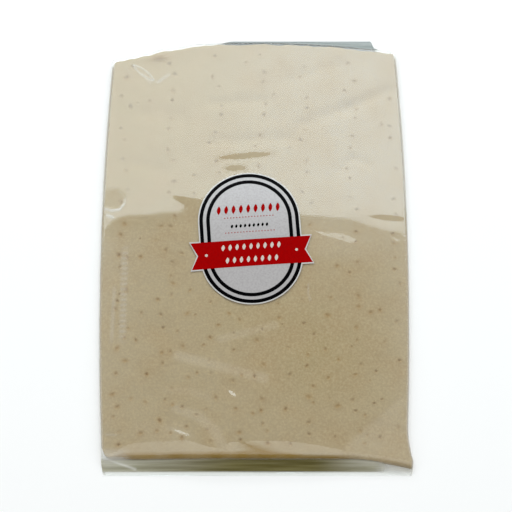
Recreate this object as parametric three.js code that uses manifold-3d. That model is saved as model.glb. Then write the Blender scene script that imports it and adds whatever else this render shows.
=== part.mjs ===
// Thin docked pizza crust sealed in a tight clear bag, with one die-cut label on the film.
// Millimetres, +Z up, +Y towards the far end. The pack lies flat on z = 0.
import * as THREE from "three";
import ManifoldModule from "manifold-3d";

const manifold = await ManifoldModule();
manifold.setup();

// Bag
const BAG_LENGTH = 307;
const FILM = 0.3;
const SIDE_MARGIN = 1.1;
const FLAP_THICKNESS = 0.8;
const SEAL_WIDTH = 1.2;
const FRONT_TAPER = 1;
const SEAL_TAPER_SHARE = 0.6;
const TUCK_REACH = 4;
const FLAP_LEFT = [-30, -15];
const FLAP_RIGHT = [84, 89];

// Crust inside the bag
const CRUST_WIDTH = 203;
const CRUST_THICKNESS = 4.5;
const ARCH_RISE = 5;
const SIDE_BOW = 5.2;
const SIDE_MIDDLE = 12;
const SIDE_REACH = 150;
const FRONT_EDGE = -144.3;
const FRONT_FLARE = 5.6;
const FLARE_START = 62;
const FLARE_POWER = 1.5;
const CORNER_SPREAD = 4;
const CORNER_SPREAD_REACH = 24;
const BACK_EDGE = 146.9;
const BACK_BOW = 5.4;
const BACK_LEFT_CUT = 6;
const BACK_LEFT_CUT_REACH = 60;
const BACK_LEFT_CUT_POWER = 1.5;
const BACK_LEFT_RADIUS = 5;
const BACK_RIGHT_RADIUS = 4;
const FRONT_LEFT_RADIUS = 9;

// Docking holes, struck by a pin roller in close pairs and again near the front
const DOCK_RADIUS = 1.7;
const DOCK_DEPTH = 1.3;
const DOCK_SIDES = 6;
const DOCK_PITCH = 30.5;
const DOCK_OFFSET = 4.1;
const DOCK_SIDE_COLUMNS = 3;
const DOCK_SCATTER = 9;
const DOCK_START = 9;
const DOCK_START_SPREAD = 8;
const DOCK_PAIR_GAP = [7, 9];
const DOCK_NEXT_GAP = [13, 17];
const SECOND_PASS_REACH = 100;
const SECOND_PASS_GAP = [18, 23];
const DOCK_EDGE_MARGIN = 4.5;
const DOCK_FRONT_MARGIN = 8;
const DOCK_CLEARANCE = 4.4;
const DOCK_LABEL_MARGIN = 3;
const DOCK_SEED = 4711;

// Label
const LABEL_WIDTH = 67.7;
const LABEL_HEIGHT = 92.7;
const LABEL_THICKNESS = 0.3;
const LABEL_GAP = 0.3;
const LABEL_X = -2.6;
const LABEL_Y = 3.05;
const LABEL_TURN = 4.1;
const RIBBON_WIDTH = 81.3;
const RIBBON_HEIGHT = 20.4;
const RIBBON_DROP = 10.45;
const RIBBON_NOTCH = 4.6;

const GRID_STEP = 7.4;
const halfWidth = CRUST_WIDTH / 2;
const bagEnd = BAG_LENGTH / 2;

// Half the width of the crust on the side of x, at a place along its length.
// Its right front corner spreads outwards.
function sideEdge(x, y) {
  const along = (y - SIDE_MIDDLE) / SIDE_REACH;
  const half = halfWidth - SIDE_BOW * along * along;
  const past = (FRONT_EDGE + CORNER_SPREAD_REACH - y) / CORNER_SPREAD_REACH;
  const spread = x > 0 ? THREE.MathUtils.clamp(past, 0, 1) : 0;
  return half + CORNER_SPREAD * spread * spread;
}

// How far a rounded corner draws an end edge in at x
function cornerDrop(inset, radius) {
  if (inset >= radius) {
    return 0;
  }
  const reach = radius - Math.max(inset, 0);
  return radius - Math.sqrt(radius * radius - reach * reach);
}

function frontEdge(x) {
  const flare = Math.max(0, (x - FLARE_START) / (halfWidth - FLARE_START));
  const left = cornerDrop(x + halfWidth, FRONT_LEFT_RADIUS);
  return FRONT_EDGE - FRONT_FLARE * Math.pow(flare, FLARE_POWER) + left;
}

function backEdge(x) {
  const across = x / halfWidth;
  const cut = Math.min((x + halfWidth) / BACK_LEFT_CUT_REACH, 1);
  const torn = BACK_LEFT_CUT * (1 - Math.pow(Math.max(cut, 0), BACK_LEFT_CUT_POWER));
  const left = torn + cornerDrop(x + halfWidth, BACK_LEFT_RADIUS);
  const right = cornerDrop(halfWidth - x, BACK_RIGHT_RADIUS);
  return BACK_EDGE - BACK_BOW * across * across - left - right;
}

// Far end of the bag: a flap between its two slanted sides, with the film tucked in beside it
function backEnd(x) {
  const left = THREE.MathUtils.smoothstep(x, ...FLAP_LEFT);
  const right = 1 - THREE.MathUtils.smoothstep(x, ...FLAP_RIGHT);
  return THREE.MathUtils.lerp(backEdge(x) + TUCK_REACH, bagEnd, left * right);
}

// Outer face of the film where it lies on the arched crust
function topHeight(x) {
  const across = x / halfWidth;
  return CRUST_THICKNESS + ARCH_RISE * (1 - across * across) + FILM;
}

// Columns run from side to side: inset from the film's side fold and share of full height
const sideRim = [
  { inset: 0, rise: 0.42 },
  { inset: 0.7, rise: 0.7 },
  { inset: 1.9, rise: 0.9 },
  { inset: 4, rise: 1 },
];
const filmHalf = halfWidth + SIDE_MARGIN;

function makeColumns() {
  const left = sideRim.map((rim) => ({ u: -1 + rim.inset / filmHalf, rise: rim.rise }));
  const right = sideRim.map((rim) => ({ u: 1 - rim.inset / filmHalf, rise: rim.rise })).reverse();
  const first = left[left.length - 1].u;
  const span = right[0].u - first;
  const count = Math.round((span * filmHalf) / GRID_STEP);
  const inner = [];
  for (let i = 1; i < count; i += 1) {
    inner.push({ u: first + (span * i) / count, rise: 1 });
  }
  return [...left, ...inner, ...right];
}

// Rows run from the front seal, over the crust, to the back seal
const endRim = [
  { inset: -2, rise: 0.28 },
  { inset: -0.4, rise: 0.62 },
  { inset: 1.1, rise: 0.88 },
  { inset: 3.6, rise: 1 },
];

function makeRows() {
  const rows = [];
  rows.push({ place: () => -bagEnd, rise: 0, taper: FRONT_TAPER });
  rows.push({ place: () => -bagEnd + SEAL_WIDTH, rise: 0, taper: FRONT_TAPER * SEAL_TAPER_SHARE });
  for (const rim of endRim) {
    rows.push({ place: (x) => frontEdge(x) + rim.inset, rise: rim.rise, taper: 0 });
  }
  const last = endRim[endRim.length - 1].inset;
  const count = Math.round((BACK_EDGE - FRONT_EDGE - 2 * last) / GRID_STEP);
  for (let j = 1; j < count; j += 1) {
    const share = j / count;
    const front = (x) => (frontEdge(x) + last) * (1 - share);
    const back = (x) => (backEdge(x) - last) * share;
    rows.push({ place: (x) => front(x) + back(x), rise: 1, taper: 0 });
  }
  for (const rim of [...endRim].reverse()) {
    rows.push({ place: (x) => backEdge(x) - rim.inset, rise: rim.rise, taper: 0 });
  }
  rows.push({ place: (x) => backEnd(x) - SEAL_WIDTH, rise: 0, taper: 0 });
  rows.push({ place: backEnd, rise: 0, taper: 0 });
  return rows;
}

const columns = makeColumns();
const rows = makeRows();

// One point of the film's outer face
function skinPoint(column, row) {
  const y = row.place(column.u * halfWidth);
  const x = column.u * (sideEdge(column.u, y) + SIDE_MARGIN - row.taper);
  const full = topHeight(x);
  const low = row.rise === 0 ? 0 : column.rise * row.rise;
  return [x, y, FLAP_THICKNESS + (full - FLAP_THICKNESS) * low];
}

// Faces of a grid of points, turned over for an underside
function gridFaces(width, depth, first, over) {
  const faces = [];
  for (let j = 0; j + 1 < depth; j += 1) {
    for (let i = 0; i + 1 < width; i += 1) {
      const a = first + j * width + i;
      const b = a + 1;
      const c = b + width;
      const d = a + width;
      faces.push(...(over ? [a, c, b, a, d, c] : [a, b, c, a, c, d]));
    }
  }
  return faces;
}

// Places of the grid's outline, counter-clockwise seen from above
function gridOutline(width, depth) {
  const loop = [];
  for (let i = 0; i + 1 < width; i += 1) {
    loop.push(i);
  }
  for (let j = 0; j + 1 < depth; j += 1) {
    loop.push(j * width + width - 1);
  }
  for (let i = width - 1; i > 0; i -= 1) {
    loop.push((depth - 1) * width + i);
  }
  for (let j = depth - 1; j > 0; j -= 1) {
    loop.push(j * width);
  }
  return loop;
}

function gridPoints(width, depth, pick) {
  const points = [];
  for (let j = 0; j < depth; j += 1) {
    for (let i = 0; i < width; i += 1) {
      points.push(pick(i, j));
    }
  }
  return points;
}

// Wall between two loops of equal length
function wallFaces(upper, lower) {
  const faces = [];
  upper.forEach((a, k) => {
    const next = (k + 1) % upper.length;
    faces.push(a, lower[k], lower[next], a, lower[next], upper[next]);
  });
  return faces;
}

// Closed body from a grid of points down to the table
function standingBody(width, depth, pick) {
  const points = gridPoints(width, depth, pick);
  const loop = gridOutline(width, depth);
  const base = loop.map((place, k) => points.length + k);
  const floor = loop.map((place) => new THREE.Vector2(points[place][0], points[place][1]));
  const faces = gridFaces(width, depth, 0, false);
  faces.push(...wallFaces(loop, base));
  for (const [a, b, c] of THREE.ShapeUtils.triangulateShape(floor, [])) {
    faces.push(base[a], base[c], base[b]);
  }
  const feet = floor.map((place) => [place.x, place.y, 0]);
  return solid([...points, ...feet].flat(), faces);
}

// Closed sheet of even thickness on a grid of points
function sheetBody(width, depth, pick, thickness) {
  const lower = gridPoints(width, depth, pick);
  const upper = lower.map(([x, y, z]) => [x, y, z + thickness]);
  const loop = gridOutline(width, depth);
  const faces = gridFaces(width, depth, 0, false);
  faces.push(...gridFaces(width, depth, upper.length, true));
  faces.push(...wallFaces(loop, loop.map((place) => place + upper.length)));
  return solid([...upper, ...lower].flat(), faces);
}

// Points and faces as a closed body for cutting
function solid(positions, index) {
  const mesh = new manifold.Mesh({
    numProp: 3,
    vertProperties: new Float32Array(positions),
    triVerts: new Uint32Array(index),
  });
  mesh.merge();
  return new manifold.Manifold(mesh);
}

// A three.js geometry as a closed body
function fromGeometry(geometry) {
  const source = geometry.index ? geometry.toNonIndexed() : geometry;
  const positions = Array.from(source.attributes.position.array);
  const index = positions.filter((value, k) => k % 3 === 0).map((value, k) => k);
  return solid(positions, index);
}

function toMesh(body, name, material) {
  const mesh = body.getMesh();
  const geometry = new THREE.BufferGeometry();
  const points = new Float32Array(mesh.vertProperties);
  geometry.setAttribute("position", new THREE.BufferAttribute(points, 3));
  geometry.setIndex(Array.from(mesh.triVerts));
  geometry.computeVertexNormals();
  const result = new THREE.Mesh(geometry, material);
  result.name = name;
  return result;
}

// Repeatable scatter for the docking
let drawn = DOCK_SEED;
function draw() {
  drawn = (drawn * 16807) % 2147483647;
  return drawn / 2147483647;
}

function drawBetween([low, high]) {
  return low + (high - low) * draw();
}

// Where a plan point lies in the label's own turned axes
function onLabel(x, y) {
  const turn = THREE.MathUtils.degToRad(LABEL_TURN);
  const dx = x - LABEL_X;
  const dy = y - LABEL_Y;
  return [dx * Math.cos(turn) + dy * Math.sin(turn), dy * Math.cos(turn) - dx * Math.sin(turn)];
}

function underLabel(x, y, margin) {
  const [across, up] = onLabel(x, y);
  const radius = LABEL_WIDTH / 2;
  const straight = (LABEL_HEIGHT - LABEL_WIDTH) / 2;
  const past = Math.max(Math.abs(up) - straight, 0);
  const inOval = Math.hypot(across, past) < radius + margin;
  const inRibbon = Math.abs(across) < RIBBON_WIDTH / 2 + margin;
  return inOval || (inRibbon && Math.abs(up + RIBBON_DROP) < RIBBON_HEIGHT / 2 + margin);
}

// Plan places of the holes, column by column, clear of the rim, the label and each other
function dockingHoles() {
  const holes = [];
  const strike = (x, y) => {
    const inside = Math.abs(x) < sideEdge(x, y) - DOCK_EDGE_MARGIN;
    const behindFront = y > frontEdge(x) + DOCK_FRONT_MARGIN;
    const beforeBack = y < backEdge(x) - DOCK_EDGE_MARGIN;
    const clear = holes.every((hole) => Math.hypot(hole[0] - x, hole[1] - y) > DOCK_CLEARANCE);
    if (inside && behindFront && beforeBack && clear && !underLabel(x, y, DOCK_LABEL_MARGIN)) {
      holes.push([x, y]);
    }
  };
  const start = FRONT_EDGE + DOCK_START;
  for (let k = -DOCK_SIDE_COLUMNS; k <= DOCK_SIDE_COLUMNS; k += 1) {
    const column = DOCK_OFFSET + k * DOCK_PITCH;
    let y = start + DOCK_START_SPREAD * draw();
    let paired = true;
    while (y < BACK_EDGE) {
      strike(column + (draw() - 0.5) * DOCK_SCATTER, y);
      y += drawBetween(paired ? DOCK_PAIR_GAP : DOCK_NEXT_GAP);
      paired = !paired;
    }
  }
  for (let k = -DOCK_SIDE_COLUMNS; k < DOCK_SIDE_COLUMNS; k += 1) {
    const column = DOCK_OFFSET + (k + 0.5) * DOCK_PITCH;
    let y = start + DOCK_START_SPREAD * draw();
    while (y < start + SECOND_PASS_REACH) {
      strike(column + (draw() - 0.5) * DOCK_SCATTER, y);
      y += drawBetween(SECOND_PASS_GAP);
    }
  }
  return holes;
}

// Tapered pin that leaves one hole
function dockingPin(x, y) {
  const lift = 0.4;
  const height = DOCK_DEPTH + lift;
  const radius = (DOCK_RADIUS * height) / DOCK_DEPTH;
  const pin = new THREE.ConeGeometry(radius, height, DOCK_SIDES);
  pin.rotateX(-Math.PI / 2);
  pin.rotateZ(draw() * Math.PI);
  pin.translate(x, y, topHeight(x) + lift - height / 2);
  return fromGeometry(pin);
}

// Bag and crust as one outer form, with the docking printed through the tight film
const skin = standingBody(columns.length, rows.length, (i, j) => skinPoint(columns[i], rows[j]));
const pins = manifold.Manifold.union(dockingHoles().map(([x, y]) => dockingPin(x, y)));
const bagBody = skin.subtract(pins);

// Label, cut to an upright oval with a swallow-tailed ribbon across it
function ovalShape() {
  const radius = LABEL_WIDTH / 2;
  const straight = (LABEL_HEIGHT - LABEL_WIDTH) / 2;
  const shape = new THREE.Shape();
  shape.moveTo(radius, -straight);
  shape.lineTo(radius, straight);
  shape.absarc(0, straight, radius, 0, Math.PI, false);
  shape.lineTo(-radius, -straight);
  shape.absarc(0, -straight, radius, Math.PI, Math.PI * 2, false);
  return shape;
}

function ribbonShape() {
  const half = RIBBON_WIDTH / 2;
  const tall = RIBBON_HEIGHT / 2;
  const shape = new THREE.Shape();
  shape.moveTo(-half, -tall - RIBBON_DROP);
  shape.lineTo(half, -tall - RIBBON_DROP);
  shape.lineTo(half - RIBBON_NOTCH, -RIBBON_DROP);
  shape.lineTo(half, tall - RIBBON_DROP);
  shape.lineTo(-half, tall - RIBBON_DROP);
  shape.lineTo(-half + RIBBON_NOTCH, -RIBBON_DROP);
  shape.closePath();
  return shape;
}

function labelPrism(shape) {
  const depth = 2 * (CRUST_THICKNESS + ARCH_RISE);
  const prism = new THREE.ExtrudeGeometry(shape, { depth, bevelEnabled: false, curveSegments: 20 });
  prism.rotateZ(THREE.MathUtils.degToRad(LABEL_TURN));
  prism.translate(LABEL_X, LABEL_Y, 0);
  return fromGeometry(prism);
}

// The label follows the film: the same grid, lifted by the gap
function labelSheet() {
  const middle = columns.filter((column) => Math.abs(column.u * halfWidth - LABEL_X) < RIBBON_WIDTH);
  const span = rows.filter((row) => Math.abs(row.place(0) - LABEL_Y) < LABEL_HEIGHT);
  const lifted = (i, j) => {
    const [x, y, z] = skinPoint(middle[i], span[j]);
    return [x, y, z + LABEL_GAP];
  };
  return sheetBody(middle.length, span.length, lifted, LABEL_THICKNESS);
}

const outline = labelPrism(ovalShape()).add(labelPrism(ribbonShape()));
const labelBody = labelSheet().intersect(outline);

const crustInFilm = new THREE.MeshStandardMaterial({ color: 0xbcab88, roughness: 0.35, metalness: 0 });
const printedLabel = new THREE.MeshStandardMaterial({ color: 0xc9cbcb, roughness: 0.45, metalness: 0 });

const pack = new THREE.Group();
pack.name = "bagged_crust";
pack.add(toMesh(bagBody, "bag", crustInFilm));
pack.add(toMesh(labelBody, "label", printedLabel));

export default pack;
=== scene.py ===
# Thin docked pizza crust in a tight clear film bag, with one die-cut label on the film.
# Metres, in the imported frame: +Z up, the label reads towards -Y, the far seal is at +Y.
import math

import bmesh
import bpy
import numpy as np
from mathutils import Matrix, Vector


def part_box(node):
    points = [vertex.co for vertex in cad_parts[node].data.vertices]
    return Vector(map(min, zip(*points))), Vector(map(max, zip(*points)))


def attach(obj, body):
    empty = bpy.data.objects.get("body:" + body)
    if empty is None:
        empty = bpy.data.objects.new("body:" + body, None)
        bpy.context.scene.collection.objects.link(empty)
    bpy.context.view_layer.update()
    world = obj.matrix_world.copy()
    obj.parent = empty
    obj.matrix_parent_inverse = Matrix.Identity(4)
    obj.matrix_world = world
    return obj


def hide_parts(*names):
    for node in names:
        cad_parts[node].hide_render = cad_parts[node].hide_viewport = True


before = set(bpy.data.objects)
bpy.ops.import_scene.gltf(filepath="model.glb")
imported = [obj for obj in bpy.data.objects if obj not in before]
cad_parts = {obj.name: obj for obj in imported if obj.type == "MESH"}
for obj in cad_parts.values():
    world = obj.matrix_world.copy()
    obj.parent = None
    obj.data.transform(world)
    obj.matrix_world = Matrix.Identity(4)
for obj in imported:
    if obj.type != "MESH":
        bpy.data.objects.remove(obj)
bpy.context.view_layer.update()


# Crust
# A rolled sheet of lean dough, docked with a pin roller and part-baked, so it is pale and dry.
# Only its near rim and the bottoms of the pinholes have browned, partly as toast and partly as painted
# shade, and it has arched from side to side.
MM = 0.001
bag_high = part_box("bag")[1]
bag_end = bag_high.y / MM
side_margin = 1.1
half_width = bag_high.x / MM - side_margin
crust_thickness = 4.5
arch_rise = 5.0
side_bow = 5.2
side_middle = 12.0
side_reach = 150.0
front_middle = -144.3
front_flare = 5.6
flare_start = 62.0
flare_power = 1.5
corner_spread = 4.0
corner_spread_reach = 24.0
front_left_radius = 9.0
back_middle = 146.9
back_bow = 5.4
back_left_cut = 6.0
back_left_cut_reach = 60.0
back_left_cut_power = 1.5
back_left_radius = 5.0
back_right_radius = 4.0
front_droop = 0.089
front_rim = 4.0
crust_lift = 0.1
crust_step = 1.8
crust_rim = crust_thickness / 2
crust_tan = "#a28d61"
crust_pale = "#b0a18a"
crust_flour = "#b8a581"
crust_warm = "#a58b63"
# Brown of the near rim band and its crease: partly toast, partly painted shade
crust_toast_and_shade = "#8f7025"
crust_scorch = "#96702c"
# Dark brown of the pinhole bottoms: partly toast, partly painted shade
crust_pit_toast_and_shade = "#6a4c1c"

# How far back from the near rim the top starts to droop, at places across the crust
droop_x = [-92, -84, -78, -60, -46, -39, -28, -22, -15, 10, 25, 39, 52, 60, 68]
droop_reach = [0.5, 9.0, 12.5, 14.4, 14.0, 12.4, 8.6, 7.2, 13.0, 14.0, 13.0, 10.4, 7.4, 5.0, 0.5]


def side_edge(x, y):
    """Half the width on the side of x; the right front corner spreads outwards."""
    half = half_width - side_bow * ((y - side_middle) / side_reach) ** 2
    spread = np.clip((front_middle + corner_spread_reach - y) / corner_spread_reach, 0.0, 1.0)
    return half + corner_spread * spread**2 * (x > 0)


def corner_drop(inset, radius):
    reach = np.clip(radius - np.maximum(inset, 0.0), 0.0, radius)
    return radius - np.sqrt(radius**2 - reach**2)


def front_edge(x):
    flare = np.maximum(0.0, (x - flare_start) / (half_width - flare_start))
    return front_middle - front_flare * flare**flare_power + corner_drop(x + half_width, front_left_radius)


def back_edge(x):
    cut = np.clip((x + half_width) / back_left_cut_reach, 0.0, 1.0)
    torn = back_left_cut * (1.0 - cut**back_left_cut_power)
    left = torn + corner_drop(x + half_width, back_left_radius)
    right = corner_drop(half_width - x, back_right_radius)
    return back_middle - back_bow * (x / half_width) ** 2 - left - right


def arch(x):
    return arch_rise * (1.0 - (x / half_width) ** 2)


def side_inset(x, y):
    return side_edge(x, y) - np.abs(x)


def end_inset(x, y):
    return np.minimum(y - front_edge(x), back_edge(x) - y)


def smooth_step(value, low, high):
    share = np.clip((value - low) / (high - low), 0.0, 1.0)
    return share * share * (3.0 - 2.0 * share)


def far_swell(x):
    """How far one toasted bump stands out of the far edge."""
    return 1.3 * np.exp(-(((x + 64.0) / 5.0) ** 2))


def near_fall(x, y):
    """How far the top droops where it runs out towards the near rim."""
    reach = sum(np.interp(x + shift, droop_x, droop_reach) for shift in (-3.0, 0.0, 3.0)) / 3
    return front_droop * reach * np.clip(1.0 - (y - front_edge(x)) / reach, 0.0, 1.0) ** 2


def rim_share(x, y, spare):
    """Height of the rounded rim, from 0 at the edge to 1 inside; the near rim rounds over furthest."""
    far = np.clip((np.minimum(side_inset(x, y), back_edge(x) - y) + spare) / crust_rim, 0.0, 1.0)
    near = np.clip((y - front_edge(x)) / front_rim, 0.0, 1.0)
    return np.sqrt(1.0 - (1.0 - far) ** 2) * np.sqrt(1.0 - (1.0 - near) ** 2)


def waves(x, y, length, seed, count=20):
    """Smooth uneven height between about -1 and 1, from plane waves of about one length."""
    draw = np.random.default_rng(seed)
    total = np.zeros_like(x)
    for _ in range(count):
        turn = draw.uniform(0.0, math.tau)
        pace = math.tau / (length * draw.uniform(0.75, 1.35))
        total += np.sin(pace * (x * math.cos(turn) + y * math.sin(turn)) + draw.uniform(0.0, math.tau))
    return total / math.sqrt(count)


# The label's place, because no pinhole shows under it
label_x = -2.6
label_y = 3.05
label_turn = math.radians(4.1)
label_width = 67.7
label_height = 92.7
label_half_width = label_width / 2
label_straight = (label_height - label_width) / 2
ribbon_half_width = 81.3 / 2
ribbon_half_height = 20.4 / 2
ribbon_drop = 10.45
ribbon_notch = 4.6


def label_axes(x, y):
    across = (x - label_x) * math.cos(label_turn) + (y - label_y) * math.sin(label_turn)
    up = (y - label_y) * math.cos(label_turn) - (x - label_x) * math.sin(label_turn)
    return across, up


def label_reach(x, y):
    """Distance outside the label's outline, below zero under it."""
    across, up = label_axes(x, y)
    oval = np.hypot(across, np.maximum(np.abs(up) - label_straight, 0.0)) - label_half_width
    ribbon = np.maximum(np.abs(across) - ribbon_half_width, np.abs(up + ribbon_drop) - ribbon_half_height)
    return np.minimum(oval, ribbon)


def docking_holes():
    """Plan places of the pinholes: close pairs in columns, and a second pass near the front."""
    pitch = 30.5
    first_column = 4.1
    column_scatter = 9.0
    row_scatter = 8.0
    start = front_middle + 9.0
    second_pass = 100.0
    rim_margin = 4.5
    front_margin = 8.0
    hole_room = 4.4
    label_room = 3.0
    modulus = 2147483647
    state = [4711]
    holes = []

    def draw():
        state[0] = state[0] * 16807 % modulus
        return state[0] / modulus

    def strike(x, y):
        inside = side_inset(x, y) > rim_margin and y < back_edge(x) - rim_margin
        inside = inside and y > front_edge(x) + front_margin
        clear = all(math.hypot(x - a, y - b) > hole_room for a, b in holes)
        if inside and clear and label_reach(x, y) > label_room:
            holes.append((x, y))

    for k in range(-3, 4):
        y = start + row_scatter * draw()
        paired = True
        while y < back_middle:
            strike(first_column + k * pitch + (draw() - 0.5) * column_scatter, y)
            y += 7.0 + 2.0 * draw() if paired else 13.0 + 4.0 * draw()
            paired = not paired
    for k in range(-3, 3):
        y = start + row_scatter * draw()
        while y < start + second_pass:
            strike(first_column + (k + 0.5) * pitch + (draw() - 0.5) * column_scatter, y)
            y += 18.0 + 5.0 * draw()
    return np.array(holes)


def pin_marks(holes):
    """Places of lighter marks, mostly near the front, where the pins only just touched the dough."""
    light_mark_count = 56
    near_limit = 20.0
    left_limit = 20.0
    far_chance = 0.12
    right_chance = 0.5
    hole_room = 4.6
    mark_room = 8.0
    label_room = 3.0
    draw = np.random.default_rng(23)
    marks = []
    while len(marks) < light_mark_count:
        x = draw.uniform(-96.0, 96.0)
        y = draw.uniform(-132.0, 138.0)
        chance = 1.0 if y < near_limit else far_chance
        chance *= 1.0 if x < left_limit else right_chance
        if draw.uniform() > chance or side_inset(x, y) < 5.0 or back_edge(x) - y < 6.0:
            continue
        room = np.hypot(holes[:, 0] - x, holes[:, 1] - y).min()
        spare = min([math.hypot(x - a, y - b) for a, b in marks], default=1e9)
        if room > hole_room and spare > mark_room and label_reach(x, y) > label_room:
            marks.append((x, y))
    return np.array(marks)


holes = docking_holes()
light_marks = pin_marks(holes)
hole_light = np.arange(len(holes) + len(light_marks)) >= len(holes)
holes = np.concatenate([holes, light_marks])
hole_draw = np.random.default_rng(31)
hole_far = holes[:, 1] > 20.0
hole_strength = hole_draw.uniform(0.0, 1.0, len(holes)) ** 1.4 * np.where(hole_light, 0.6, 1.0)
hole_depth = 0.25 + 0.6 * hole_strength
hole_size = hole_draw.uniform(0.7, 1.05, len(holes)) + 0.15 * hole_far - 0.1 * hole_light
hole_stretch = hole_draw.uniform(1.0, 1.6, len(holes))
hole_turn = hole_draw.uniform(0.0, math.pi, len(holes))
hole_scorch = hole_draw.uniform(0.05, 0.5, len(holes)) * np.where(hole_far, 0.6, 1.0)


def plan_points(mesh):
    points = np.empty(len(mesh.vertices) * 3, np.float32)
    mesh.vertices.foreach_get("co", points)
    return points.reshape(-1, 3).astype(float)


def set_points(mesh, x, y, z):
    points = np.stack([x, y, z], axis=1).astype(np.float32)
    mesh.vertices.foreach_set("co", points.ravel())
    mesh.update()


def set_attribute(mesh, name, values):
    layer = mesh.attributes.new(name, "FLOAT", "POINT")
    layer.data.foreach_set("value", np.asarray(values, np.float32))


def name_piece(name):
    piece = bpy.context.active_object
    piece.name = name
    piece.data.name = name
    return piece


def new_grid(name, columns, rows):
    bpy.ops.object.select_all(action="DESELECT")
    bpy.ops.mesh.primitive_grid_add(x_subdivisions=columns, y_subdivisions=rows, size=2.0)
    return name_piece(name)


def select_faces(piece, test):
    """Edit mode with only the faces selected whose centre passes the test."""
    bpy.ops.object.mode_set(mode="EDIT")
    bpy.ops.mesh.select_mode(type="FACE")
    bpy.ops.mesh.select_all(action="DESELECT")
    edit = bmesh.from_edit_mesh(piece.data)
    centres = np.array([face.calc_center_median() for face in edit.faces])
    for face, chosen in zip(edit.faces, test(centres)):
        face.select_set(bool(chosen))
    bmesh.update_edit_mesh(piece.data)


crust = new_grid("crust", round(2 * half_width / crust_step), round(2 * back_middle / crust_step))
u, v, _ = plan_points(crust.data).T
y = front_edge(u * half_width) * (1 - v) / 2 + back_edge(u * half_width) * (1 + v) / 2
set_points(crust.data, u * side_edge(u, y), y, np.full_like(u, crust_rim))

bpy.ops.object.mode_set(mode="EDIT")
bpy.ops.mesh.select_all(action="SELECT")
bpy.ops.mesh.extrude_region_move(TRANSFORM_OT_translate={"value": (0, 0, -crust_thickness)})
bpy.ops.mesh.select_all(action="SELECT")
bpy.ops.mesh.normals_make_consistent(inside=False)
bpy.ops.object.mode_set(mode="OBJECT")


def needs_detail(centres):
    """Top faces round a pinhole or on the rim."""
    x, y, z = centres.T
    near = np.full(len(x), 1e9)
    for a, b in holes:
        near = np.minimum(near, np.hypot(x - a, y - b))
    rim = np.minimum(side_inset(x, y), end_inset(x, y))
    return (z > 0.0) & ((near < 2.5) | (rim < 4.5))


select_faces(crust, needs_detail)
bpy.ops.mesh.subdivide(number_cuts=3)
bpy.ops.object.mode_set(mode="OBJECT")

x, y, z = plan_points(crust.data).T
upper = z > 0.0
inset = np.maximum(np.minimum(side_inset(x, y), end_inset(x, y)), 0.0)
rounding = rim_share(x, y, 0.0)
swell = crust_rim * (0.11 + 0.89 * rounding)
height = crust_lift + crust_rim + arch(x) + np.where(upper, swell, -swell)
height -= np.where(upper, 1.0, 1.0 - rounding) * near_fall(x, y)
flat = np.clip(inset / 6.0, 0.0, 1.0) * upper
height += flat * np.minimum(0.22 * waves(x, y, 30.0, 3) + 0.09 * waves(x, y, 11.0, 4), 0.3)

# Soft hollows pressed into the dough: start x and y, end x and y, width and depth
dough_hollows = [
    (33.0, 86.0, 64.0, 99.0, 4.5, 1.5),
    (64.0, 99.0, 97.0, 115.0, 4.5, 1.8),
    (-29.0, 101.5, 6.0, 103.5, 4.0, 1.3),
    (-29.0, 73.0, 26.0, 75.5, 4.5, 1.3),
    (24.0, 120.0, 59.0, 132.0, 5.0, 0.8),
    (-91.0, 60.0, -61.0, 52.0, 5.0, 0.7),
    (56.0, 52.0, 66.0, 61.0, 3.5, 0.8),
    (66.0, 61.0, 77.0, 57.0, 3.5, 0.8),
    (-76.0, 96.0, -50.0, 92.0, 6.0, 0.8),
]


def along_line(x, y, line):
    """Distance from a line between two points, and the share of the way along it."""
    a, b, c, d = line
    share = np.clip(((x - a) * (c - a) + (y - b) * (d - b)) / ((c - a) ** 2 + (d - b) ** 2), 0.0, 1.0)
    return np.hypot(x - a - share * (c - a), y - b - share * (d - b)), share


for *line, width, depth in dough_hollows:
    away, _ = along_line(x, y, line)
    height -= flat * depth * np.exp(-((away / width) ** 2))
pit_toast_and_shade = np.zeros_like(x)
scorch = np.zeros_like(x)
for k, (a, b) in enumerate(holes):
    along = (x - a) * math.cos(hole_turn[k]) + (y - b) * math.sin(hole_turn[k])
    across = (y - b) * math.cos(hole_turn[k]) - (x - a) * math.sin(hole_turn[k])
    reach = np.hypot(along / hole_stretch[k], across) / hole_size[k]
    height -= upper * hole_depth[k] * np.exp(-((reach / 0.8) ** 2))
    height += upper * 0.09 * np.exp(-(((reach - 1.8) / 0.6) ** 2))
    # Each bottom is darkened partly as toast and partly as painted shade, deeper holes darker, far holes
    # darker still
    dark = 0.14 + 0.18 * hole_far[k] + 0.36 * hole_strength[k]
    pit_toast_and_shade = np.maximum(pit_toast_and_shade, upper * dark * np.exp(-((reach / 0.8) ** 2)))
    scorch = np.maximum(scorch, upper * hole_scorch[k] * np.exp(-((reach / 1.8) ** 2)))

# Toasting and painted shade: a band along the near rim, narrowing to its ends, partly toast and partly
# painted shade, painted shade in a crease behind it, and a toasted patch at the far edge
toast_and_shade_depth = 4.9
toast_and_shade_fade = 1.7
toast_and_shade_bulge = 1.7
toast_and_shade_reach = toast_and_shade_depth * smooth_step(x, -93.0, -82.0) * (1.0 - smooth_step(x, 46.0, 76.0))
toast_and_shade_reach *= 1.0 - 0.45 * smooth_step(x, 12.0, 40.0)
toast_and_shade_reach += toast_and_shade_bulge * np.exp(-(((x - 2.0) / 10.0) ** 2))
near_rim = np.clip((toast_and_shade_reach - (y - front_edge(x))) / toast_and_shade_fade, 0.0, 1.0)
near_rim *= 0.72 + 0.2 * smooth_step(x, -55.0, -20.0) + 0.1 * waves(x, y, 15.0, 6)
far_patch = 0.75 * upper * np.exp(-(((x + 66.0) / 6.0) ** 2) - ((y - 136.4) / 2.4) ** 2)
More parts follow.
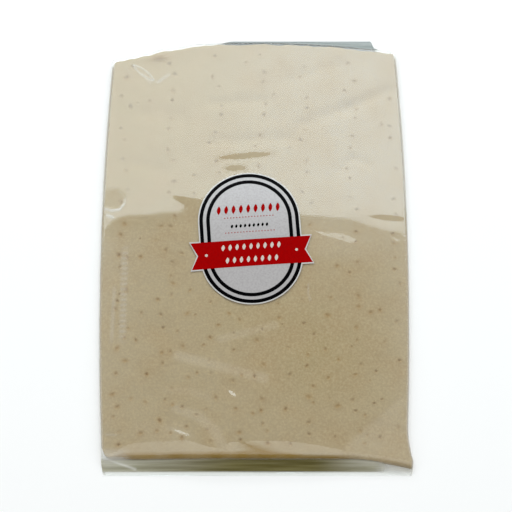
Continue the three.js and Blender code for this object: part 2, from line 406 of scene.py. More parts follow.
# Painted shade: a dark line along a crease behind the near rim
away, share = along_line(x, y, (-8.0, -135.4, 13.0, -142.6))
crease_shade = upper * np.exp(-((away / 2.7) ** 2)) * smooth_step(share, -0.3, 0.5)
toast_and_shade = np.clip(np.maximum(near_rim, crease_shade), 0.0, 1.0)
scorch = np.maximum(scorch, far_patch)
dark_patch = 0.6 * upper * np.exp(-(((x + 65.5) / 4.8) ** 2) - ((y - 135.6) / 1.7) ** 2)
pit_toast_and_shade = np.maximum(pit_toast_and_shade, dark_patch)
browner = 0.4 * np.exp(-(((x - 42.0) / 42.0) ** 2) - ((y + 76.0) / 38.0) ** 2)
browner += 0.2 * np.exp(-(((x + 2.0) / 36.0) ** 2) - ((y + 47.0) / 20.0) ** 2)
paleness = 0.5 + 0.45 * smooth_step(y, -5.0, 50.0) * np.clip(x / 80.0, -1.0, 1.0) - browner
paleness += 0.15 * smooth_step(y, 0.0, 40.0) * smooth_step(x, -30.0, 20.0)
ragged = 0.5 * (waves(x, y, 8.0, 7) + waves(x, y, 26.0, 8)) * np.exp(-inset / 2.5)
at_side = side_inset(x, y) < end_inset(x, y)
far_bump = far_swell(x) * np.exp(-inset / 3.0) * (y > 0)
side_push = 0.3 * np.exp(-np.maximum(side_inset(x, y), 0.0) / 2.5)
side_push += 0.15 * at_side * np.minimum(ragged, 0.8)
x = x + np.sign(x) * side_push * smooth_step(y, -150.5, -146.5)
y = y + np.where(at_side, 0.0, np.where(y > 0, 0.7, 0.1) * np.sign(y) * ragged) + far_bump
set_points(crust.data, x * MM, y * MM, height * MM)
set_attribute(crust.data, "paleness", paleness)
set_attribute(crust.data, "toast_and_shade", toast_and_shade)
set_attribute(crust.data, "scorch", scorch)
set_attribute(crust.data, "pit_toast_and_shade", pit_toast_and_shade)
bpy.ops.object.shade_smooth()


def linear(colour):
    """A hex sRGB colour as linear red, green, blue and full alpha."""
    parts = [int(colour[i : i + 2], 16) / 255 for i in (1, 3, 5)]
    return [c / 12.92 if c <= 0.04045 else ((c + 0.055) / 1.055) ** 2.4 for c in parts] + [1.0]


def new_material(name):
    material = bpy.data.materials.new(name)
    material.use_nodes = True
    material.node_tree.nodes.clear()
    return material


def add_node(material, kind, inputs=None, **settings):
    """One shader node with its settings, and its sockets set to values or linked."""
    node = material.node_tree.nodes.new("ShaderNode" + kind)
    for name, value in settings.items():
        setattr(node, name, value)
    for socket, value in (inputs or {}).items():
        if isinstance(value, bpy.types.NodeSocket):
            material.node_tree.links.new(value, node.inputs[socket])
        else:
            node.inputs[socket].default_value = value
    return node


def painted(material, name):
    """The share that an attribute of the mesh gives at each point."""
    return add_node(material, "Attribute", attribute_name=name).outputs["Fac"]


def mix_colours(material, share, first, second):
    """The colour that lies a share of the way from the first to the second."""
    return add_node(material, "Mix", {0: share, 6: first, 7: second}, data_type="RGBA").outputs[2]


# Part-baked dough: a dry matte skin, dusted with flour, with a fine open grain; its near rim and pinhole
# bottoms are browned partly as toast and partly as painted shade
baked_dough = new_material("part_baked_dough")
place = add_node(baked_dough, "TexCoord").outputs["Object"]
grain_mm = 1.5
mottle_mm = 24.0
grain = add_node(
    baked_dough, "TexNoise",
    {"Vector": place, "Scale": 1 / (grain_mm * MM), "Detail": 3.0, "Roughness": 0.65},
).outputs["Fac"]
mottle = add_node(
    baked_dough, "TexNoise",
    {"Vector": place, "Scale": 1 / (mottle_mm * MM), "Detail": 4.0, "Roughness": 0.55},
).outputs["Fac"]
flour_share = add_node(
    baked_dough, "MapRange",
    {"Value": grain, "From Min": 0.4, "From Max": 0.7, "To Max": 0.8},
).outputs["Result"]
warm_share = add_node(
    baked_dough, "MapRange",
    {"Value": mottle, "From Min": 0.42, "From Max": 0.68, "To Max": 0.55},
).outputs["Result"]
plain = mix_colours(baked_dough, painted(baked_dough, "paleness"), linear(crust_tan), linear(crust_pale))
warm = mix_colours(baked_dough, warm_share, plain, linear(crust_warm))
floured = mix_colours(baked_dough, flour_share, warm, linear(crust_flour))
# The near rim band, partly toast and partly painted shade, and the painted shade in its crease
toasted_and_shaded = mix_colours(baked_dough, painted(baked_dough, "toast_and_shade"), floured, linear(crust_toast_and_shade))
scorched = mix_colours(baked_dough, painted(baked_dough, "scorch"), toasted_and_shaded, linear(crust_scorch))
# Pinhole bottoms: partly toast, partly painted shade
pitted_and_shaded = mix_colours(baked_dough, painted(baked_dough, "pit_toast_and_shade"), scorched, linear(crust_pit_toast_and_shade))
tooth = add_node(baked_dough, "Bump", {"Height": grain, "Strength": 0.38, "Distance": 0.25 * MM})
dough = add_node(
    baked_dough, "BsdfPrincipled",
    {
        "Base Color": pitted_and_shaded, "Roughness": 0.85, "Specular IOR Level": 0.25,
        "Normal": tooth.outputs["Normal"],
    },
)
add_node(baked_dough, "OutputMaterial", {"Surface": dough.outputs["BSDF"]})
crust.data.materials.append(baked_dough)
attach(crust, "root")
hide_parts("bag")


# Film bag
# A flat tube of clear film, drawn tight over the crust and sealed across both ends.
# It bridges the pinholes, tents down off the rim to its end flaps, and keeps a few low folds.
film_gap = 0.5
film_step = 0.85
row_crowding = 0.35
side_crowding = 0.8
flap_height = 0.35
front_taper = 1.0
hem_start = -150.8
tent_reach = 7.0
tuck_reach = 4.0
flap_left = (-30.0, -15.0)
flap_right = (84.0, 86.5)
# End colours, a dark and a light streak each: painted reflection and painted shade at the near end, the far
# seal; white for painted highlights and the seam; the clear tint
film_cloudy_and_reflection = ("#b2af98", "#d0cec1")
film_shaded = ("#5e5518", "#847c4a")
film_sealed = ("#8f9896", "#a3a8a5")
film_white = "#f2f2ec"
film_tint = "#fbfcfb"

# Faint tilts of the film: middle x and y, half length and half width, turn in degrees, tilt in radians
film_tilts = [
    (-47.5, 31.0, 11.0, 2.3, -19.0, -0.0160),
    (-38.0, 25.0, 9.0, 7.0, 0.0, -0.0090),
    (-88.0, 14.0, 16.0, 20.0, 0.0, -0.0031),
    (-58.0, 20.0, 14.0, 16.0, 0.0, -0.0016),
    (95.0, 7.0, 24.0, 16.0, 0.0, 0.0045),
    (50.0, 16.0, 40.0, 20.0, 0.0, 0.0028),
    (-105.0, 12.0, 8.0, 14.0, 0.0, 0.0075),
    (-5.9, 62.2, 20.0, 2.1, 5.0, -0.0700),
    (-12.4, 53.2, 8.0, 2.2, 2.0, -0.0550),
    (91.0, 18.9, 13.0, 1.7, -4.0, -0.0160),
    (60.0, 3.0, 12.5, 3.0, -17.0, 0.0180),
    (44.0, 6.6, 7.5, 0.9, -20.0, 0.0145),
    (94.0, 2.8, 4.0, 1.6, -20.0, 0.0060),
    (0.1, -137.8, 8.0, 1.2, -20.0, 0.0700),
    (-14.0, -102.6, 6.0, 1.8, -46.0, 0.1900),
    (-45.8, -127.8, 10.0, 1.2, -21.0, 0.1900),
]

# Strips where the film is rubbed dull: start x and y, end x and y, half width and strength
film_rubs = [
    (-49.0, -112.5, -34.9, -117.8, 3.2, 0.9),
    (-34.9, -117.8, -24.7, -127.0, 3.6, 1.0),
    (-24.7, -127.0, -19.3, -138.5, 3.6, 1.0),
    (-49.0, -77.6, 6.2, -92.5, 3.4, 1.0),
    (-22.0, -66.5, 13.0, -57.5, 2.8, 0.7),
    (-55.6, -100.7, -40.9, -100.8, 2.4, 0.4),
    (-40.9, -100.8, -29.4, -104.9, 2.4, 0.4),
    (-72.0, -127.0, -48.0, -129.0, 8.0, 0.45),
    (42.0, 4.0, 94.0, -4.0, 14.0, 0.4),
    (88.4, 2.9, 98.9, -3.1, 3.5, 0.5),
    (-24.0, 60.6, 12.0, 63.8, 3.5, 0.25),
    (-18.0, 53.0, -7.0, 53.4, 3.5, 0.45),
]

# Round dents that the film has lost its tension in: middle x and y, radius and depth
film_dents = [
    (-94.5, 32.0, 7.0, 0.04),
]

# Painted highlights, white lines where the folded and creased film would glint: start x and y, end x and y,
# width and strength
film_fold_glints = [
    (-100.6, 26.0, -95.3, 24.1, 0.7, 0.45),
    (-95.3, 24.1, -89.9, 24.7, 0.7, 0.55),
    (-89.9, 24.7, -87.0, 28.7, 0.7, 0.45),
    (-87.0, 28.7, -86.6, 32.0, 0.7, 0.25),
    (-98.2, 21.1, -94.3, 19.2, 0.8, 0.45),
    (-89.0, 131.0, -84.0, 122.0, 0.7, 0.07),
    (-96.8, -142.5, -75.1, -149.5, 0.7, 0.55),
    (-93.4, -128.4, -87.4, -128.7, 0.6, 0.1),
    (35.4, -28.9, 35.0, -35.1, 0.6, 0.12),
    (35.0, -35.1, 36.5, -39.9, 0.6, 0.12),
    (-76.7, 124.7, -71.7, 118.4, 1.4, 0.12),
    (-66.2, 118.2, -59.4, 123.4, 1.4, 0.16),
]
# A painted highlight: a thin loop where a crinkle in the film would glint
leaf_glint = (-83.8, 132.3, -68.6, 119.1)
leaf_half_width = 2.0


def flap_share(x):
    """1 where the far flap stands out of the bag, 0 where the film is tucked in beside it."""
    return smooth_step(x, *flap_left) * (1.0 - smooth_step(x, *flap_right))


def back_end(x):
    return back_edge(x) + tuck_reach + (bag_end - back_edge(x) - tuck_reach) * flap_share(x)


def film_rest(x):
    """Height of the taut film where it lies on the crust."""
    return crust_lift + crust_thickness + arch(x) + film_gap


def film_relief(x, y):
    """Tilts and dents of the film, which die away under the label."""
    relief = 0.004 * waves(x, y, 40.0, 11)
    for a, b, length, width, turn, tilt in film_tilts:
        turn = math.radians(turn)
        along = ((x - a) * math.cos(turn) + (y - b) * math.sin(turn)) / length
        across = ((y - b) * math.cos(turn) - (x - a) * math.sin(turn)) / width
        fade = max(5.0, 30.0 / width)
        relief -= tilt * width * np.tanh(across) * np.exp(-(along**2) - (across / fade) ** 2)
    for a, b, radius, depth in film_dents:
        relief -= depth * np.exp(-(((x - a) ** 2 + (y - b) ** 2) / radius**2))
    return relief * smooth_step(label_reach(x, y), -8.0, 3.0)


def fold_glint_marks(x, y):
    """Strength of the painted highlights: white glint lines on folds, and one loop shaped like a thin leaf.
    """
    marks = np.zeros_like(x)
    for *line, width, strength in film_fold_glints:
        away, _ = along_line(x, y, line)
        marks = np.maximum(marks, strength * np.exp(-((away / width) ** 2)))
    a, b, c, d = leaf_glint
    length = math.hypot(c - a, d - b)
    along = ((x - a) * (c - a) + (y - b) * (d - b)) / length**2
    across = ((y - b) * (c - a) - (x - a) * (d - b)) / length
    edge = np.abs(across) - leaf_half_width * np.sin(math.pi * np.clip(along, 0.0, 1.0))
    inside = (along > 0.0) & (along < 1.0)
    return np.maximum(marks, 0.42 * inside * np.exp(-((edge / 0.38) ** 2)))


def dull_share(x, y):
    """Where the film is slack or rubbed: at the sides, in strips, in the right near corner, in a dimple."""
    dull = np.where(x > 0, 0.8, 0.65) * np.exp(-side_inset(x, y) / 10.0)
    dull += 0.15 * smooth_step(-x, 55.0, 90.0)
    dull *= 1.0 - smooth_step(y, -5.0, 25.0)
    for *line, width, strength in film_rubs:
        away, _ = along_line(x, y, line)
        dull = np.maximum(dull, strength * np.exp(-((away / width) ** 4)))
    corner = (x - 56.0) * 0.68 - (y + 136.0) * 0.733
    dull = np.maximum(dull, smooth_step(corner, -1.0, 4.0) * smooth_step(x, 50.0, 60.0))
    dimple = ((x + 94.5) / 8.5) ** 2 + ((y - 32.5) / 8.5) ** 2
    return np.clip(np.maximum(dull, np.exp(-(dimple**3))), 0.0, 1.0)


film = new_grid("film", round(2 * bag_high.x / MM / film_step), round(2 * bag_end / film_step))
u, v, _ = plan_points(film.data).T
spare = 1.0 - np.abs(u)
u = np.sign(u) * (1.0 - spare * (1.0 - side_crowding * np.exp(-spare / 0.02)))
row = (v + 1.0) / 2
row -= row_crowding * np.sin(math.tau * row) / math.tau
far = back_end(u * half_width)
y = -bag_end + (far + bag_end) * row
front_share = np.clip((front_middle - y) / (bag_end + front_middle), 0.0, 1.0)
x = u * (side_edge(u, y) + side_margin - front_taper * front_share)
past_side = -side_inset(x, y)
past_front = front_edge(x) - y
past_back = y - back_edge(x)
inset = np.maximum(-np.maximum(past_side, np.maximum(past_front, past_back)), 0.0)
near_y = np.maximum(y, front_edge(x))
far_spare = 0.7 + far_swell(x)
rim_spare = 0.8 + far_spare * smooth_step(past_back, -8.0, -3.0)
over = film_rest(x) - near_fall(x, near_y) - crust_rim * 0.89 * (1.0 - rim_share(x, near_y, rim_spare))
fall = np.clip(1.0 - np.maximum(past_side, 0.0) / side_margin, 0.0, 1.0) ** 0.7
front_room = np.minimum(tent_reach, front_edge(x) + bag_end - 0.3)
back_room = np.minimum(tent_reach, back_end(x) - back_edge(x) - 0.3)
fall *= np.clip(1.0 - np.maximum(past_front, 0.0) / front_room, 0.0, 1.0) ** 1.5
back_fall = np.maximum(past_back - far_spare, 0.0) / (back_room - far_spare)
fall *= np.clip(1.0 - back_fall, 0.0, 1.0) ** 1.5
height = flap_height + (over - flap_height) * fall
height += film_relief(x, y) * np.clip(inset / 2.0, 0.0, 1.0)

# The loose film in front of the near rim hangs in long low ripples
loose = np.clip(past_front / 2.5, 0.0, 1.0)
ripple = np.sin(math.tau * past_front / 3.3 + 1.6 * waves(x, np.zeros_like(x), 55.0, 14))
height += loose * 0.16 * (1.0 + ripple)
# Opaque layers at the ends: the near one carries painted shade and painted reflections, the far one is the
# cloudy seal
far_end = smooth_step(past_back, 0.25, 1.8) * flap_share(x)
near_end = smooth_step(past_front, -0.5, 0.4) * smooth_step(y, hem_start - 0.8, hem_start + 0.4)
near_end *= 1.0 - 0.8 * smooth_step(x, 74.0, 86.0)
gather_and_shade = np.maximum(near_end, far_end)
# Painted highlight: white film along the side walls, stronger in the far half, laid over the shaded rim of
# the crust
lit = smooth_step(y, 10.0, 40.0)
side_fold_highlight = (0.3 + 0.18 * lit) * smooth_step(past_side + 0.4 * lit, -1.6, 0.1)
side_fold_highlight *= 1.0 - 0.85 * smooth_step(past_side, 0.05, 0.8)
side_fold_highlight *= (1.0 - near_end) * (past_back < 0.5)
# Share of painted shade in the near end's colour, highest in the middle and further from the rim; painted
# reflections towards its ends
olive = smooth_step(x, -90.0, -7.0) * (1.0 - smooth_step(x, 34.0, 78.0))
olive += 0.35 * (1.0 - olive) * smooth_step(past_front, 2.0, 6.0)
# Painted highlight: paler film at the near left corner, with a bright line along the rim
corner_fold_highlight = 0.14 * smooth_step(-y, 136.0, 140.0) * (1.0 - 0.8 * smooth_step(past_front, 0.5, 3.0))
corner_fold_highlight += 0.3 * np.exp(-(((past_front + 0.6) / 1.2) ** 2))
corner_fold_highlight *= smooth_step(-x, 75.0, 86.0)
rungs = 0.6 + 0.4 * np.sin(math.tau * y / 3.6)
seam = rungs * np.exp(-(((x + 85.4) / 2.4) ** 4))
seam *= smooth_step(y, -72.0, -60.0) * (1.0 - smooth_step(y, -8.0, 2.0))
seam_line = np.exp(-(((x + 91.0 - 0.02 * y) / 1.3) ** 4)) * smooth_step(y, -72.0, -62.0)
seam = np.maximum(seam, 0.6 * seam_line * (1.0 - smooth_step(y, -34.0, -26.0)))
set_points(film.data, x * MM, y * MM, np.maximum(height, flap_height) * MM)
set_attribute(film.data, "gather_and_shade", gather_and_shade)
set_attribute(film.data, "olive", olive)
set_attribute(film.data, "far_end", far_end)
set_attribute(film.data, "seam", seam)
set_attribute(film.data, "painted_highlight", np.maximum(fold_glint_marks(x, y), np.maximum(side_fold_highlight, corner_fold_highlight)))
set_attribute(film.data, "slack", dull_share(x, y))

bpy.ops.object.mode_set(mode="EDIT")
bpy.ops.mesh.select_mode(type="EDGE")
bpy.ops.mesh.select_all(action="DESELECT")
bpy.ops.mesh.select_non_manifold(
    use_wire=False, use_multi_face=False, use_non_contiguous=False, use_verts=False
)
bpy.ops.mesh.extrude_edges_move(TRANSFORM_OT_translate={"value": (0, 0, -0.3 * MM)})
bpy.ops.mesh.edge_face_add()
bpy.ops.mesh.select_all(action="SELECT")
bpy.ops.mesh.normals_make_consistent(inside=False)
bpy.ops.object.mode_set(mode="OBJECT")
bpy.ops.object.shade_smooth_by_angle(angle=math.radians(50))

# Clear polypropylene film: both faces of the thin sheet reflect, so one sheet stands for the two.
# A little haze softens part of the gloss, and where layers pile up at the ends the film turns cloudy: the
# near end is drawn opaque with painted shade, dark olive under the rim, and painted reflections as pale
# streaks towards its ends.
clear_film = new_material("clear_polypropylene_film")
facing = add_node(clear_film, "LayerWeight", {"Blend": 0.5}).outputs["Facing"]
grazing = add_node(clear_film, "Math", {0: facing, 1: 5.0}, operation="POWER").outputs[0]
mirrored = add_node(clear_film, "MapRange", {"Value": grazing, "To Min": 0.08, "To Max": 1.0}).outputs[0]
gloss = add_node(clear_film, "BsdfGlossy", {"Color": linear("#ffffff"), "Roughness": 0.03}).outputs[0]
haze = add_node(clear_film, "BsdfGlossy", {"Color": linear("#ffffff"), "Roughness": 0.3}).outputs[0]
slack = painted(clear_film, "slack")
haze_share = add_node(clear_film, "MapRange", {"Value": slack, "To Min": 0.21, "To Max": 1.0}).outputs[0]
sheen = add_node(clear_film, "MixShader", {0: haze_share, 1: gloss, 2: haze}).outputs[0]
# Long pale streaks in the end colours, on the near end painted reflections
streak_length_mm = 45.0
streak_width_mm = 1.4
streak_scale = (1 / (streak_length_mm * MM), 1 / (streak_width_mm * MM), 0.0)
film_place = add_node(clear_film, "TexCoord").outputs["Object"]
drawn_out = add_node(clear_film, "Mapping", {"Vector": film_place, "Scale": streak_scale}).outputs[0]
streak = add_node(clear_film, "TexNoise", {"Vector": drawn_out, "Scale": 1.0, "Detail": 3.0}).outputs["Fac"]
streak_share = add_node(
    clear_film, "MapRange", {"Value": streak, "From Min": 0.35, "From Max": 0.7, "To Max": 1.0}
).outputs[0]
cloudy_and_reflection, shaded, sealed = [
    mix_colours(clear_film, streak_share, linear(dark), linear(light))
    for dark, light in (film_cloudy_and_reflection, film_shaded, film_sealed)
]
far_share = painted(clear_film, "far_end")
near_colour = mix_colours(clear_film, painted(clear_film, "olive"), cloudy_and_reflection, shaded)
end_colour = mix_colours(clear_film, far_share, near_colour, sealed)
layers_and_painted_shade = add_node(clear_film, "BsdfDiffuse", {"Color": end_colour, "Roughness": 0.5}).outputs[0]
gathered_and_shaded = painted(clear_film, "gather_and_shade")
piled_and_shaded_share = add_node(clear_film, "MapRange", {"Value": gathered_and_shaded, "To Max": 0.94}).outputs[0]
clear = add_node(clear_film, "BsdfTransparent", {"Color": linear(film_tint)}).outputs[0]
clouded_and_shaded = add_node(clear_film, "MixShader", {0: piled_and_shaded_share, 1: clear, 2: layers_and_painted_shade}).outputs[0]
ribbed = add_node(clear_film, "MapRange", {"Value": painted(clear_film, "seam"), "To Max": 0.17}).outputs[0]
# Painted highlights drawn as white film, together with the seam's crimps
highlighted = painted(clear_film, "painted_highlight")
white_share = add_node(clear_film, "Math", {0: highlighted, 1: ribbed}, operation="MAXIMUM").outputs[0]
white_film_and_highlight = add_node(clear_film, "BsdfDiffuse", {"Color": linear(film_white), "Roughness": 0.5}).outputs[0]
through = add_node(clear_film, "MixShader", {0: white_share, 1: clouded_and_shaded, 2: white_film_and_highlight}).outputs[0]

# Piled film loses most of its gloss, the flat far seal less of it than the loose near end, whose shade and
# reflections are painted
gloss_taken = add_node(clear_film, "Math", {0: far_share, 1: -0.4, 2: gathered_and_shaded}, operation="MULTIPLY_ADD")
gloss_left = add_node(
    clear_film, "MapRange", {"Value": gloss_taken.outputs[0], "To Min": 1.0, "To Max": 0.15}
).outputs[0]
mirror_share = add_node(clear_film, "Math", {0: mirrored, 1: gloss_left}, operation="MULTIPLY").outputs[0]
film_face = add_node(clear_film, "MixShader", {0: mirror_share, 1: through, 2: sheen}).outputs[0]
add_node(clear_film, "OutputMaterial", {"Surface": film_face})
film.data.materials.append(clear_film)
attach(film, "root")
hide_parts("bag")


# Label sheet
# A die-cut sticker of coated paper, an upright oval with a swallow-tailed ribbon across it.
# It is stuck to the film by hand, a few degrees out of true, and bends with the arch.
label_sheet_thickness = 0.28
print_thickness = 0.02
label_lift = 0.2
oval_vertices = 98
bend_step = 3.0


def new_oval(name, radius):
    bpy.ops.object.select_all(action="DESELECT")
    bpy.ops.mesh.primitive_circle_add(vertices=oval_vertices, radius=radius, fill_type="NGON")
    piece = name_piece(name)
    stretch_oval(piece)
    return piece


def stretch_oval(piece):
    """Parts a circle at its middle by the oval's straight sides."""
    x, y, z = plan_points(piece.data).T
    set_points(piece.data, x, y + np.sign(y) * label_straight, z)


def new_ribbon(name, margin):
    """A swallow-tailed band, made from a grid with its ends drawn in to the notch."""
    piece = new_grid(name, 2, 2)
    u, v, z = plan_points(piece.data).T
    half = ribbon_half_width - margin - ribbon_notch * (1.0 - np.abs(v))
    set_points(piece.data, u * half, v * (ribbon_half_height - margin) - ribbon_drop, z)
    return piece


def thicken(piece, thickness):
    bpy.ops.object.mode_set(mode="EDIT")
    bpy.ops.mesh.select_all(action="SELECT")
    bpy.ops.mesh.extrude_region_move(TRANSFORM_OT_translate={"value": (0, 0, thickness)})
    bpy.ops.mesh.select_all(action="SELECT")
    bpy.ops.mesh.normals_make_consistent(inside=False)
    bpy.ops.object.mode_set(mode="OBJECT")


def lay_on_film(piece, lift):
    """Cuts a flat piece into strips, turns it on its place and bends it over the arch."""
    bpy.ops.object.mode_set(mode="EDIT")
    reach = round(ribbon_half_width / bend_step)
    for k in range(-reach, reach + 1):
        bpy.ops.mesh.select_all(action="SELECT")
        bpy.ops.mesh.bisect(plane_co=(k * bend_step, 0, 0), plane_no=(1, 0, 0))
    bpy.ops.object.mode_set(mode="OBJECT")
    across, up, z = plan_points(piece.data).T
    x = label_x + across * math.cos(label_turn) - up * math.sin(label_turn)
    y = label_y + up * math.cos(label_turn) + across * math.sin(label_turn)
    set_points(piece.data, x * MM, y * MM, (film_rest(x) + lift + z) * MM)
    bpy.ops.object.shade_smooth_by_angle(angle=math.radians(30))


ribbon_base = new_ribbon("ribbon_base", 0.0)
thicken(ribbon_base, label_sheet_thickness)
label_sheet = new_oval("label_sheet", label_half_width)
thicken(label_sheet, label_sheet_thickness)
join = label_sheet.modifiers.new("ribbon", "BOOLEAN")
join.operation = "UNION"
join.solver = "EXACT"
join.object = ribbon_base
bpy.ops.object.modifier_apply(modifier="ribbon")
bpy.data.objects.remove(ribbon_base)
lay_on_film(label_sheet, label_lift)

# Coated label paper: a smooth satin white, which only shows as the border
coated_paper = new_material("coated_label_paper")
paper_place = add_node(coated_paper, "TexCoord").outputs["Object"]
cloud_mm = 7.0
cloud = add_node(
    coated_paper, "TexNoise", {"Vector": paper_place, "Scale": 1 / (cloud_mm * MM), "Detail": 3.0}
).outputs["Fac"]
cloud_share = add_node(
    coated_paper, "MapRange", {"Value": cloud, "From Min": 0.35, "From Max": 0.7}
).outputs["Result"]
paper_colour = mix_colours(coated_paper, cloud_share, linear("#c4c1bd"), linear("#bcb9b5"))
paper = add_node(
    coated_paper, "BsdfPrincipled",
    {"Base Color": paper_colour, "Roughness": 0.1, "Specular IOR Level": 0.75},
)
add_node(coated_paper, "OutputMaterial", {"Surface": paper.outputs["BSDF"]})
label_sheet.data.materials.append(coated_paper)
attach(label_sheet, "root")
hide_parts("label")


# Label print
# A pale grey ground, two black lines round it, a red ribbon across, and rows of small plain marks.
# Each ink is a very thin skin on the paper, laid in the order that it was printed.
ring_edge = 0.85
ring_width = 2.4
ring_gap = 2.2
ground_lift = 0.01
line_lift = 0.04
ribbon_lift = 0.07
cream_lift = 0.1
paper_top = label_lift + label_sheet_thickness


def printing_ink(name, colour, worn, shine):
    """Offset ink: an even colour with a slightly uneven gloss."""
    speck_mm = 1.2
    ink = new_material(name)
    place = add_node(ink, "TexCoord").outputs["Object"]
    speck = add_node(
        ink, "TexNoise", {"Vector": place, "Scale": 1 / (speck_mm * MM), "Detail": 2.0}
    ).outputs["Fac"]
    share = add_node(ink, "MapRange", {"Value": speck, "From Min": 0.4, "From Max": 0.7}).outputs["Result"]
    tone = mix_colours(ink, share, linear(colour), linear(worn))
    gloss = add_node(ink, "MapRange", {"Value": speck, "To Min": 0.08, "To Max": 0.16}).outputs["Result"]
    face = add_node(
        ink, "BsdfPrincipled", {"Base Color": tone, "Roughness": gloss, "Specular IOR Level": shine}
    )
    add_node(ink, "OutputMaterial", {"Surface": face.outputs["BSDF"]})
    return ink


def print_piece(piece, lift, ink):
    """Gives a flat shape the thickness of ink and lays it on the paper."""
    thicken(piece, print_thickness)
    lay_on_film(piece, paper_top + lift)
    piece.data.materials.append(ink)
    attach(piece, "root")


def oval_line(name, outer):
    bpy.ops.object.select_all(action="DESELECT")
    bpy.ops.mesh.primitive_circle_add(vertices=oval_vertices, radius=outer)
    piece = name_piece(name)
    bpy.ops.object.mode_set(mode="EDIT")
    bpy.ops.mesh.primitive_circle_add(vertices=oval_vertices, radius=outer - ring_width)
    bpy.ops.mesh.select_all(action="SELECT")
    bpy.ops.mesh.bridge_edge_loops()
    bpy.ops.object.mode_set(mode="OBJECT")
    stretch_oval(piece)
    return piece


def marks(name, count, spacing, width, tall, middle, pointed):
    """A centred row of small grains, pointed and leaning, or of round dots."""
    bpy.ops.object.select_all(action="DESELECT")
    bpy.ops.mesh.primitive_circle_add(vertices=12, radius=0.5, fill_type="NGON")
    piece = name_piece(name)
    x, y, z = plan_points(piece.data).T
    if pointed:
        x = np.sign(x) * 0.5 * (np.abs(x) > 1e-4) * (1.0 - 4.0 * y**2) + 0.25 * y
    set_points(piece.data, x * width - spacing * (count - 1) / 2, y * tall + middle, z)
    row = piece.modifiers.new("row", "ARRAY")
    row.count = count
    row.use_relative_offset = False
    row.use_constant_offset = True
    row.constant_offset_displace = (spacing, 0, 0)
    bpy.ops.object.modifier_apply(modifier="row")
    return piece


grey_ink = printing_ink("grey_offset_ink", "#aba7a6", "#a09c9b", 0.75)
black_ink = printing_ink("black_offset_ink", "#020203", "#040405", 0.025)
red_ink = printing_ink("red_offset_ink", "#960102", "#8d0102", 0.02)
cream_ink = printing_ink("cream_offset_ink", "#c9bdb4", "#bcb0a7", 0.02)
outer_line = label_half_width - ring_edge
inner_line = outer_line - ring_width - ring_gap
print_piece(new_oval("label_ground", outer_line), ground_lift, grey_ink)
print_piece(oval_line("label_outer_line", outer_line), line_lift, black_ink)
print_piece(oval_line("label_inner_line", inner_line), line_lift, black_ink)
print_piece(marks("label_black_marks", 9, 2.9, 1.7, 2.7, 8.7, True), line_lift, black_ink)
print_piece(new_ribbon("label_ribbon", 0.9), ribbon_lift, red_ink)
print_piece(marks("label_red_marks", 9, 4.9, 2.7, 6.2, 20.6, True), line_lift, red_ink)
print_piece(marks("label_red_dots_high", 17, 2.0, 0.8, 0.8, 14.8, False), line_lift, red_ink)
print_piece(marks("label_red_dots_low", 17, 2.0, 0.8, 0.8, 4.3, False), line_lift, red_ink)
print_piece(marks("label_cream_marks_high", 9, 4.6, 2.3, 4.4, -6.1, True), cream_lift, cream_ink)
print_piece(marks("label_cream_marks_low", 8, 4.6, 2.3, 4.4, -15.0, True), cream_lift, cream_ink)
print_piece(marks("label_cream_studs", 2, 59.4, 1.9, 1.9, -10.4, False), cream_lift, cream_ink)


# Studio
# A plain pale floor under the bag, which is not part of it.
bpy.ops.object.select_all(action="DESELECT")
bpy.ops.mesh.primitive_plane_add(size=8.0)
floor = bpy.context.active_object
floor.name = "floor"

# Matte board: an even near-white ground with no shine
pale_floor = new_material("pale_matte_floor")
floor_face = add_node(
    pale_floor, "BsdfPrincipled",
    {
        "Base Color": linear("#d6d6d5"), "Roughness": 0.9,
        "Emission Color": linear("#ffffff"), "Emission Strength": 0.24,
    },
)
add_node(pale_floor, "OutputMaterial", {"Surface": floor_face.outputs["BSDF"]})
floor.data.materials.append(pale_floor)

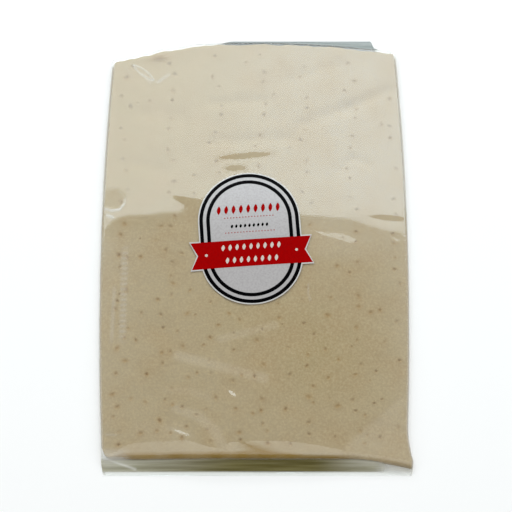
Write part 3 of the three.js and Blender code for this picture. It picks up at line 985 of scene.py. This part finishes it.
# Camera
# It stands over the near end and looks down at seventy degrees, through a long lens.
camera_data = bpy.data.cameras.new("camera")
camera_data.sensor_width = 36.0
camera_data.lens = 106.5
camera = bpy.data.objects.new("camera", camera_data)
bpy.context.scene.collection.objects.link(camera)
camera_tilt = math.radians(20.0)
camera_reach = 1.0
aim_x = 1.1 * MM
aim_y = -7.85 * MM
aim_z = 5.0 * MM
camera_y = aim_y - camera_reach * math.sin(camera_tilt)
camera.location = (aim_x, camera_y, aim_z + camera_reach * math.cos(camera_tilt))
camera.rotation_euler = (camera_tilt, 0.0, 0.0)
bpy.context.scene.camera = camera

# Lights
# A broad soft window beyond the far end, whose near edge mirrors across the middle of the film.
# A brighter strip low in it glints on creases, a dim panel overhead lifts the near rim, two fill the sides.
window_mirror_y = 23.0 * MM
window_height = 1.5
film_top = film_rest(0.0) * MM
view_slope = (window_mirror_y - camera.location.y) / (camera.location.z - film_top)
window_near_y = window_mirror_y + view_slope * window_height


def panel(name, place, turn, width, depth, radiance, colour):
    lamp = bpy.data.lights.new(name, "AREA")
    lamp.shape = "RECTANGLE"
    lamp.size = width
    lamp.size_y = depth
    lamp.energy = radiance * math.pi * width * depth
    lamp.color = colour
    light = bpy.data.objects.new(name, lamp)
    light.location = place
    light.rotation_euler = [math.radians(angle) for angle in turn]
    light.visible_camera = False
    bpy.context.scene.collection.objects.link(light)


window_turn = -18.0
window_depth = 0.98
window_y = window_near_y + window_depth / 2 * math.cos(math.radians(window_turn))
window_z = film_top + window_height + window_depth / 2 * math.sin(math.radians(window_turn))
panel("window", (0.0, window_y, window_z), (window_turn, 0, 0), 2.2, window_depth, 3.35, (0.9, 1.0, 1.05))
panel("window_strip", (0.0, 1.75, 1.05), (-52, 0, 0), 2.2, 0.16, 8.0, (0.97, 1.0, 1.02))
panel("overhead", (0.0, -0.385, 1.6), (0, 0, 0), 2.2, 1.01, 1.12, (1.0, 0.99, 0.97))
panel("right_fill", (1.35, -0.1, 0.9), (0, 56, 0), 0.8, 1.4, 1.3, (1.0, 0.99, 0.97))
panel("left_fill", (-1.35, -0.1, 0.9), (0, -56, 0), 0.8, 1.4, 1.3, (1.0, 0.99, 0.97))
world = bpy.data.worlds.new("studio")
world.use_nodes = True
world.node_tree.nodes["Background"].inputs["Color"].default_value = (1.0, 1.0, 1.0, 1.0)
world.node_tree.nodes["Background"].inputs["Strength"].default_value = 0.25
bpy.context.scene.world = world
bpy.context.scene.view_settings.view_transform = "Standard"
